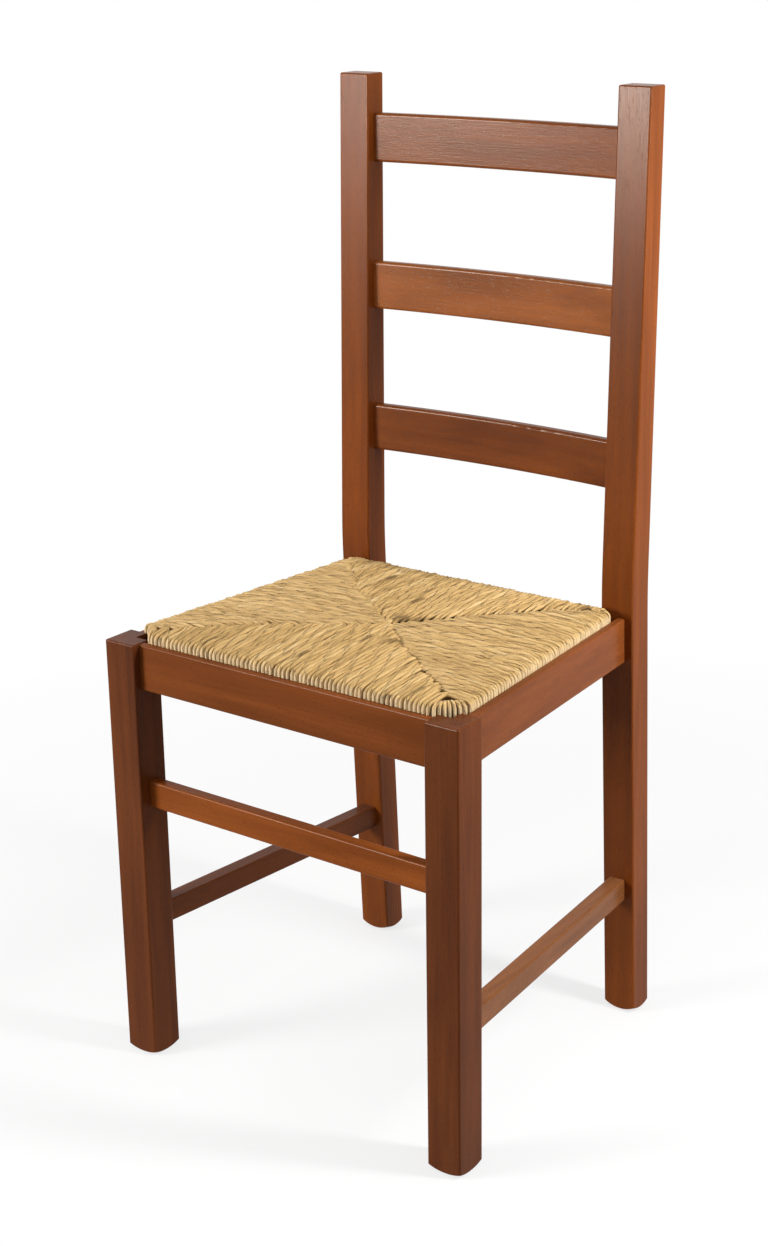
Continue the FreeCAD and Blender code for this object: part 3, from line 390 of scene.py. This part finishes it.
def straight_strand(edge, along, radius, lift):
    """One strand: from the seam under the seat, over its rail, and in to the seam on top."""
    depth = seam_depth(edge, along) + weaver.uniform(-SEAM_STRAY, SEAM_STRAY)
    low = SEAT_UNDERSIDE + radius
    line = [(depth, low + 0.006), (depth - 0.004, low + 0.001)]
    step_count = max(int((depth - 0.012) / UNDER_SPACING), 1)
    for step in range(step_count):
        line.append((depth - 0.008 + (HEM_ROLL + 0.008 - depth) * step / step_count, low))
    line = [point for point in line if point[0] > HEM_ROLL + 0.0005] + over_edge(radius)
    swing = [weaver.uniform(0.0, math.tau) for wave in range(4)]
    slow = weaver.uniform(*SLOW_WAVES)
    quick = weaver.uniform(*QUICK_WAVES)
    points = []
    for inward, height in line:
        sway = 0.0004 * math.sin(swing[0] + inward * slow)
        x, y = strand_place(edge, along + sway, inward)
        height += lift * (height - SEAT_UNDERSIDE) / (SEAT_EDGE_TOP - SEAT_UNDERSIDE)
        points.append((x, y, height, WRAP_GIRTH))
    end = strand_end(edge, along, depth)
    top_run = end[0][0] - 0.003 - TOP_ROLL
    step_count = max(int(top_run / TOP_SPACING), 1)
    top_line = [(TOP_ROLL + top_run * step / step_count, 0.0, 1.0) for step in range(1, step_count + 1)]
    for inward, sink, girth in top_line + end:
        sway = 0.0006 * math.sin(swing[0] + inward * slow)
        sway += 0.0003 * math.sin(swing[1] + inward * quick)
        x, y = strand_place(edge, along + sway, inward)
        height = top_at(x, y) - radius + sink + lift
        height += 0.0004 * math.sin(swing[2] + inward * slow * 1.7)
        height += 0.0003 * math.sin(swing[3] + inward * quick)
        points.append((x, y, height, girth * weaver.uniform(0.9, 1.06)))
    return points


def seam_y(end, side, x):
    """Where a corner's seam crosses a line square to the front."""
    points = sorted((abs(p[0]), p[1]) for p in SEAMS[end, side])
    return float(np.interp(x, [p[0] for p in points], [p[1] for p in points]))


UNDER_TURN = 0.012
UNDER_END = 0.03
LEAST_BEND = 0.004
EXTRA_BEND = 0.008
BEND_STEPS = 6
BEND_SINK = 0.0022
FAN_START = 0.012


def corner_strand(corner, end, side, radius, reach):
    """A strand that bends round a corner of the seat, from one rail to the next."""
    sign = 1.0 if side == "left" else -1.0
    ahead = 1.0 if end == "front" else -1.0
    edge_y = FRONT_EDGE if end == "front" else REAR_EDGE
    low = SEAT_UNDERSIDE + radius
    first_x = corner[0] - reach
    second_y = seam_y(end, side, first_x)
    points = [(first_x, edge_y + ahead * under, low, 1.0) for under in (UNDER_END, UNDER_TURN)]
    for inset, height in over_edge(radius):
        points.append((first_x, edge_y + ahead * inset, height, WRAP_GIRTH))
    widening = EXTRA_BEND * math.exp(-(((reach - 0.010) / 0.008) ** 2))
    bend = min(LEAST_BEND + widening, reach * 1.3)
    sink = min(reach / 0.03, 1.0) * BEND_SINK
    for step in range(BEND_STEPS + 1):
        turn = math.pi / 2 * step / BEND_STEPS
        x = first_x + bend - bend * math.cos(turn)
        y = second_y - ahead * (bend - bend * math.sin(turn))
        height = top_at(x, y) - radius - sink * math.sin(2.0 * turn)
        points.append((x, y, height, weaver.uniform(0.9, 1.0)))
    edge_x = side_edge(second_y)
    for inset, height in reversed(over_edge(radius)):
        points.append((edge_x - inset, second_y, height, WRAP_GIRTH))
    points += [(edge_x - under, second_y, low, 1.0) for under in (UNDER_TURN, UNDER_END)]
    return [(sign * x, y, z, girth) for x, y, z, girth in points]


def fan_strand(corner, end, side, radius, share):
    """A short strand that fans out of the corner's notch over the seat's cut corner."""
    sign = 1.0 if side == "left" else -1.0
    edge_y = FRONT_EDGE if end == "front" else REAR_EDGE
    foot = Vector((corner[0], edge_y)).lerp(Vector((side_edge(corner[1]), corner[1])), share)
    start = Vector(corner)
    run = foot - start
    way = run.normalized()
    points = [(*(foot - way * UNDER_TURN), SEAT_UNDERSIDE + radius, 1.0)]
    for inset, height in over_edge(radius):
        points.append((*(foot - way * inset), height, 1.0))
    inner = min(FAN_START, run.length - TOP_ROLL - 0.0008)
    points.append((*(start + way * inner), SEAT_EDGE_TOP - radius - 0.0008, 0.95))
    points.append((*(start + way * (inner - 0.0035)), SEAT_EDGE_TOP - radius - 0.0075, 0.7))
    return [(sign * x, y, z, girth) for x, y, z, girth in points]


STRAND_SIDES = 8
PATTERN_SHIFT = 0.1
LEAST_TONE = 0.28
TONE_SPREAD = 0.5
SEAM_SHADE_GIRTH = 0.38
SEAM_SHADE_FADE = 0.14


def run_length(points):
    """How long a strand is."""
    return sum(math.dist(start[:3], finish[:3]) for start, finish in zip(points, points[1:]))


def woven(name, strands, material):
    """Strands made one piece, each a closed tube with its own tone, painted darker as shade where it thins
    out into a seam.
    """
    cord = bpy.data.curves.new(name, "CURVE")
    cord.dimensions = "3D"
    cord.bevel_depth = 1.0
    cord.bevel_resolution = STRAND_SIDES // 2 - 2
    cord.use_fill_caps = True
    for points, radius in strands:
        spline = cord.splines.new("POLY")
        spline.points.add(len(points) - 1)
        for point, (x, y, z, girth) in zip(spline.points, points):
            point.co = (x, y, z, 1.0)
            point.radius = radius * girth
        spline.use_smooth = True
    holder = bpy.data.objects.new(name + "_line", cord)
    mesh = bpy.data.meshes.new_from_object(holder)
    bpy.data.objects.remove(holder)
    block_sizes = [STRAND_SIDES * (len(points) + 2) for points, radius in strands]
    owner = np.repeat(np.arange(len(strands)), block_sizes)
    lengths = np.array([run_length(points) for points, radius in strands])
    tones = []
    for points, radius in strands:
        tone = LEAST_TONE + TONE_SPREAD * weaver.betavariate(2.2, 2.2)
        # Painted shade: a strand's tone falls to nothing where it thins to dive into a seam, for the shade
        # in the gap.
        rings = [tone * min(max((point[3] - SEAM_SHADE_GIRTH) / SEAM_SHADE_FADE, 0.0), 1.0) for point in points]
        tones.append(np.repeat(rings, STRAND_SIDES))
        tones.append(np.full(2 * STRAND_SIDES, rings[-1]))
    tones = np.concatenate(tones).astype(np.float32)
    mesh.attributes.new("tone", "FLOAT", "POINT").data.foreach_set("value", tones)
    corner_vertex = np.zeros(len(mesh.loops), np.int32)
    mesh.loops.foreach_get("vertex_index", corner_vertex)
    layer = mesh.uv_layers[0]
    layer.name = "along"
    flat = np.zeros(len(mesh.loops) * 2, np.float32)
    layer.data.foreach_get("uv", flat)
    flat = flat.reshape(-1, 2)
    flat[:, 0] *= lengths[owner[corner_vertex]]
    flat[:, 1] *= math.tau * STRAND_RADIUS
    flat[:, 1] += PATTERN_SHIFT * owner[corner_vertex]
    layer.data.foreach_set("uv", flat.ravel())
    shape = bmesh.new()
    shape.from_mesh(mesh)
    bmesh.ops.remove_doubles(shape, verts=shape.verts, dist=1e-6)
    bmesh.ops.recalc_face_normals(shape, faces=shape.faces)
    shape.to_mesh(mesh)
    shape.free()
    mesh.materials.append(material)
    piece = bpy.data.objects.new(name, mesh)
    bpy.context.scene.collection.objects.link(piece)
    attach(piece, "root")
    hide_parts("rush_seat")


# Dried rush: straw gold with paler and olive brown strands, each twisted from two bundles
# with a furrow winding between them and fine fibres on the same slant, and a dull sheen.
# The furrow is painted dark brown in places as painted shade in its crease, and the wraps
# over the seat's edge are painted paler straw as a painted highlight.
STRAND_TURN = 0.085
FIBRE_SLANT = math.radians(24.0)
FURROW_SHADE = (0.10, 0.06, 0.022, 1.0)
EDGE_HIGHLIGHT_STRAW = (0.88, 0.71, 0.46, 1.0)
EDGE_HIGHLIGHT_BELOW = 0.4675
EDGE_HIGHLIGHT_FULL = 0.4625
RUSH_TONES = (
    (0.0, (0.22, 0.135, 0.05)),
    (0.2, (0.44, 0.275, 0.098)),
    (0.5, (0.62, 0.40, 0.155)),
    (0.8, (0.73, 0.505, 0.225)),
    (1.0, (0.80, 0.62, 0.35)),
)
rush = bpy.data.materials.new("twisted_rush")
rush.use_nodes = True
rush_tree = rush.node_tree
along_strand = put(rush_tree, "UVMap", uv_map="along").outputs["UV"]
slant = {"Vector": along_strand, "Rotation": (0.0, 0.0, FIBRE_SLANT), "Scale": (1.0, 7.0, 1.0)}
fibres = noise(rush_tree, put(rush_tree, "Mapping", slant).outputs["Vector"], 420.0, 3.0)
strand_tone = put(rush_tree, "Attribute", attribute_name="tone").outputs["Fac"]
seat_place = put(rush_tree, "TexCoord").outputs["Object"]
patches = noise(rush_tree, seat_place, 26.0, 3.0)
runs = noise(rush_tree, along_strand, 45.0, 2.0)
rush_tone = combined(rush_tree, "ADD", strand_tone, ramp(rush_tree, patches, 0.3, 0.7, -0.06, 0.06))
rush_tone = combined(rush_tree, "ADD", rush_tone, ramp(rush_tree, runs, 0.3, 0.7, -0.14, 0.14))
rush_tone = combined(rush_tree, "ADD", rush_tone, ramp(rush_tree, fibres, 0.3, 0.7, -0.2, 0.2), clamp=True)
colours = put(rush_tree, "ValToRGB", {"Fac": rush_tone})
while len(colours.color_ramp.elements) < len(RUSH_TONES):
    colours.color_ramp.elements.new(0.5)
for element, (position, colour) in zip(colours.color_ramp.elements, RUSH_TONES):
    element.position = position
    element.color = (*colour, 1.0)
strand_axes = put(rush_tree, "SeparateXYZ", {"Vector": along_strand}).outputs
wind_along = combined(rush_tree, "MULTIPLY", strand_axes["X"], 2.0 / STRAND_TURN)
wind_round = combined(rush_tree, "MULTIPLY", strand_axes["Y"], 2.0 / (math.tau * STRAND_RADIUS))
wind = combined(rush_tree, "ADD", wind_along, ramp(rush_tree, runs, 0.3, 0.7, 0.0, 0.35))
wind = combined(rush_tree, "ADD", wind, wind_round)
bundle = combined(rush_tree, "SUBTRACT", combined(rush_tree, "FRACT", wind), 0.5)
from_middle = combined(rush_tree, "ABSOLUTE", bundle)
furrow = ramp(rush_tree, from_middle, 0.39, 0.485)
# Painted shade: where the noise lets it, the furrow is coloured dark brown for the shade in its crease.
shadow_share = ramp(rush_tree, noise(rush_tree, along_strand, 90.0), 0.4, 0.6, 0.15, 0.85)
shadowed = combined(rush_tree, "MULTIPLY", furrow, shadow_share)
rush_colour = blended(rush_tree, shadowed, colours.outputs["Color"], FURROW_SHADE)
# Painted highlight: below the seat's top the strands are mixed towards pale straw, standing in for the
# light on the wraps over the edge.
seat_height = put(rush_tree, "SeparateXYZ", {"Vector": seat_place}).outputs["Z"]
edge_highlight = ramp(rush_tree, seat_height, EDGE_HIGHLIGHT_BELOW, EDGE_HIGHLIGHT_FULL, 0.0, 0.5)
rush_colour = blended(rush_tree, edge_highlight, rush_colour, EDGE_HIGHLIGHT_STRAW)
rush_surface = rush_tree.nodes["Principled BSDF"]
rush_tree.links.new(rush_colour, rush_surface.inputs["Base Color"])
rush_tree.links.new(ramp(rush_tree, fibres, 0.3, 0.7, 0.72, 0.55), rush_surface.inputs["Roughness"])
rush_surface.inputs["Specular IOR Level"].default_value = 0.2
rush_height = combined(rush_tree, "SUBTRACT", combined(rush_tree, "MULTIPLY", fibres, 0.5), furrow)
rush_relief = {"Height": rush_height, "Strength": 0.7, "Distance": 0.0008}
rush_tree.links.new(put(rush_tree, "Bump", rush_relief).outputs["Normal"], rush_surface.inputs["Normal"])

# The weaving: each rail is wrapped from end to end, then each corner gets its strands that
# bend round from rail to rail, and the short ones that fan over the cut corner.
ARCH_COUNT = {"front": 2, "rear": 2}
ARCH_START = {"front": 0.0035, "rear": 0.0025}
FAN_COUNT = {"front": 7, "rear": 4}
ALONG_STRAY = 0.0003
LIFTS = (-0.0011, 0.0003)
WRAP_SIZES = (0.86, 1.1)
ARCH_SIZES = (0.9, 1.06)
FAN_SIZES = (0.66, 0.82)
CORNERS = {"front": FRONT_CORNER, "rear": REAR_CORNER}
arch_span = {end: ARCH_START[end] + ARCH_COUNT[end] * STRAND_PITCH for end in CORNERS}
EDGE_SPANS = {}
for end, corner in CORNERS.items():
    EDGE_SPANS[end] = (arch_span[end] - corner[0], corner[0] - arch_span[end])
for side in ("left", "right"):
    EDGE_SPANS[side] = tuple(seam_y(end, side, CORNERS[end][0] - arch_span[end]) for end in CORNERS)
for edge, (start, finish) in EDGE_SPANS.items():
    count = round((finish - start) / STRAND_PITCH)
    strands = []
    for number in range(count + 1):
        along = start + (finish - start) * number / count
        along += weaver.uniform(-ALONG_STRAY, ALONG_STRAY)
        radius = STRAND_RADIUS * weaver.uniform(*WRAP_SIZES)
        lift = weaver.uniform(*LIFTS)
        strands.append((straight_strand(edge, along, radius, lift), radius))
    woven(f"rush_{edge}", strands, rush)

for end, corner in CORNERS.items():
    strands = []
    for side in ("left", "right"):
        for number in range(ARCH_COUNT[end]):
            radius = STRAND_RADIUS * weaver.uniform(*ARCH_SIZES)
            reach = ARCH_START[end] + number * STRAND_PITCH
            strands.append((corner_strand(corner, end, side, radius, reach), radius))
        for number in range(FAN_COUNT[end]):
            radius = STRAND_RADIUS * weaver.uniform(*FAN_SIZES)
            share = (number + 0.5) / FAN_COUNT[end]
            strands.append((fan_strand(corner, end, side, radius, share), radius))
    woven(f"rush_{end}_corners", strands, rush)

# Loose rush stuffed between the top and bottom strands, inside the seat frame. It is
# coloured near black as painted shade, and only shows as darkness between the strands.
STUFFING_PLAN = ((-0.164, -0.1505), (0.164, -0.1505), (0.141, 0.1105), (-0.141, 0.1105))
STUFFING_BOTTOM = 0.4455
STUFFING_DEPTH = 0.0205
STUFFING_SINK = 0.0062
HUSK_SHADE_DARK = (0.02, 0.012, 0.006, 1.0)
HUSK_SHADE_BROWN = (0.1, 0.06, 0.025, 1.0)
stuffing_shape = bmesh.new()
ring = [stuffing_shape.verts.new((x, y, STUFFING_BOTTOM)) for x, y in STUFFING_PLAN]
base = stuffing_shape.faces.new(ring)
raised = bmesh.ops.extrude_face_region(stuffing_shape, geom=[base])
upper = [item for item in raised["geom"] if isinstance(item, bmesh.types.BMVert)]
bmesh.ops.translate(stuffing_shape, verts=upper, vec=(0.0, 0.0, STUFFING_DEPTH))
bmesh.ops.subdivide_edges(stuffing_shape, edges=stuffing_shape.edges, cuts=7, use_grid_fill=True)
for vertex in stuffing_shape.verts:
    if vertex.co.z > STUFFING_BOTTOM + STUFFING_DEPTH - 0.0001:
        vertex.co.z = top_at(vertex.co.x, vertex.co.y) - STUFFING_SINK
bmesh.ops.recalc_face_normals(stuffing_shape, faces=stuffing_shape.faces)
stuffing_mesh = bpy.data.meshes.new("rush_stuffing")
stuffing_shape.to_mesh(stuffing_mesh)
stuffing_shape.free()
husk = bpy.data.materials.new("loose_rush")
husk.use_nodes = True
husk_tree = husk.node_tree
husk_place = put(husk_tree, "TexCoord").outputs["Object"]
husk_clumps = noise(husk_tree, husk_place, 260.0, 4.0, 1.5)
# Painted shade: the stuffing's near-black browns stand for the shade between the strands.
husk_shade_tint = blended(husk_tree, husk_clumps, HUSK_SHADE_DARK, HUSK_SHADE_BROWN)
husk_surface = husk_tree.nodes["Principled BSDF"]
husk_tree.links.new(husk_shade_tint, husk_surface.inputs["Base Color"])
husk_surface.inputs["Roughness"].default_value = 0.9
husk_surface.inputs["Specular IOR Level"].default_value = 0.05
husk_relief = {"Height": husk_clumps, "Strength": 0.8, "Distance": 0.002}
husk_normal = put(husk_tree, "Bump", husk_relief).outputs["Normal"]
husk_tree.links.new(husk_normal, husk_surface.inputs["Normal"])
stuffing_mesh.materials.append(husk)
stuffing = bpy.data.objects.new("rush_stuffing", stuffing_mesh)
bpy.context.scene.collection.objects.link(stuffing)
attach(stuffing, "root")
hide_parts("rush_seat")

# A pale studio floor under the chair that takes its shadow and turns pure white further
# out, where it meets the white all round it.
FLOOR_SIZE = 40.0
FLOOR_TINT = (0.2, 0.2, 0.2, 1.0)
FLOOR_SEEN = (0.9, 0.9, 0.9, 1.0)
WHITE = (1.0, 1.0, 1.0, 1.0)
floor_shape = bmesh.new()
bmesh.ops.create_grid(floor_shape, x_segments=1, y_segments=1, size=FLOOR_SIZE)
floor_mesh = bpy.data.meshes.new("studio_floor")
floor_shape.to_mesh(floor_mesh)
floor_shape.free()


def seen_share(tree):
    """1 for rays that show the background, in the picture, in gloss or through glass."""
    rays = put(tree, "LightPath").outputs
    share = combined(tree, "MAXIMUM", rays["Is Camera Ray"], rays["Is Glossy Ray"])
    return combined(tree, "MAXIMUM", share, rays["Is Transmission Ray"])


paper = bpy.data.materials.new("floor_paper")
paper.use_nodes = True
paper_tree = paper.node_tree
paper_seen = seen_share(paper_tree)
paper_surface = paper_tree.nodes["Principled BSDF"]
paper_tint = blended(paper_tree, paper_seen, FLOOR_TINT, FLOOR_SEEN)
paper_tree.links.new(paper_tint, paper_surface.inputs["Base Color"])
paper_surface.inputs["Roughness"].default_value = 0.9
paper_glow = put(paper_tree, "Emission", {"Color": WHITE, "Strength": 1.0}).outputs[0]
paper_place = put(paper_tree, "TexCoord").outputs["Object"]
paper_reach = put(paper_tree, "VectorMath", {0: paper_place}, operation="LENGTH").outputs["Value"]
glow_reach = ramp(paper_tree, paper_reach, 0.5, 1.3, 0.72, 1.0)
glow_share = combined(paper_tree, "MULTIPLY", paper_seen, glow_reach)
paper_mix = put(paper_tree, "MixShader", {0: glow_share, 1: paper_surface.outputs[0], 2: paper_glow})
paper_tree.links.new(paper_mix.outputs[0], paper_tree.nodes["Material Output"].inputs["Surface"])
floor_mesh.materials.append(paper)
floor = bpy.data.objects.new("studio_floor", floor_mesh)
bpy.context.scene.collection.objects.link(floor)

AMBIENT = 0.4
world = bpy.data.worlds.new("studio")
world.use_nodes = True
bpy.context.scene.world = world
air = world.node_tree
air_surface = air.nodes["Background"]
air.links.new(ramp(air, seen_share(air), 0.0, 1.0, AMBIENT, 1.0), air_surface.inputs["Strength"])
air_surface.inputs["Color"].default_value = WHITE


# Soft boxes: a large one in front on the sitter's right with another beside it that only
# shows as sheen on the top slat and the tops of the posts, a strip in line with the back
# that lights the outer faces on the sitter's left, and a faint one overhead.
def soft_box(name, place, target, width, height, power):
    """An area light at a place, turned towards a point, with its size and its watts."""
    lamp = bpy.data.lights.new(name, "AREA")
    lamp.shape = "RECTANGLE"
    lamp.size = width
    lamp.size_y = height
    lamp.energy = power
    holder = bpy.data.objects.new(name, lamp)
    holder.location = place
    holder.rotation_euler = (Vector(target) - Vector(place)).to_track_quat("-Z", "Y").to_euler()
    bpy.context.scene.collection.objects.link(holder)
    return holder


SHEEN_TINT = (1.0, 0.87, 0.75)
BOXES = {
    "front_box": ((-1.4, -1.9, 1.1), (0.0, 0.0, 0.8), 0.8, 0.8, 45.0),
    "side_box": ((1.0, 0.19, 0.95), (0.2, 0.19, 0.7), 0.15, 0.6, 13.5),
    "top_box": ((-0.1, -0.4, 2.4), (0.0, 0.0, 0.5), 1.2, 1.2, 4.5),
    "sheen_box": ((-1.1, -1.97, 1.2), (0.05, 0.1, 0.9), 0.75, 0.65, 170.0),
}
boxes = {name: soft_box(name, *settings) for name, settings in BOXES.items()}
sheen_box = boxes["sheen_box"]
sheen_box.data.color = SHEEN_TINT
sheen_box.visible_diffuse = False

# The camera stands in front on the sitter's left and above the chair, a little rolled.
# It is aimed at the middle of the seat.
CAMERA_PLACE = (1.2198, -1.6252, 1.1571)
CAMERA_TARGET = (-0.0111, -0.0089, 0.4624)
CAMERA_ROLL = math.radians(-0.9)
SENSOR_WIDTH = 36.0
LENS_LENGTH = 61.5
lens = bpy.data.cameras.new("camera")
lens.sensor_width = SENSOR_WIDTH
lens.lens = LENS_LENGTH
camera = bpy.data.objects.new("camera", lens)
camera.location = CAMERA_PLACE
camera.rotation_mode = "QUATERNION"
aim = (Vector(CAMERA_TARGET) - Vector(CAMERA_PLACE)).to_track_quat("-Z", "Y")
camera.rotation_quaternion = aim @ Quaternion((0.0, 0.0, 1.0), CAMERA_ROLL)
bpy.context.scene.collection.objects.link(camera)
bpy.context.scene.camera = camera
bpy.context.scene.view_settings.view_transform = "Standard"
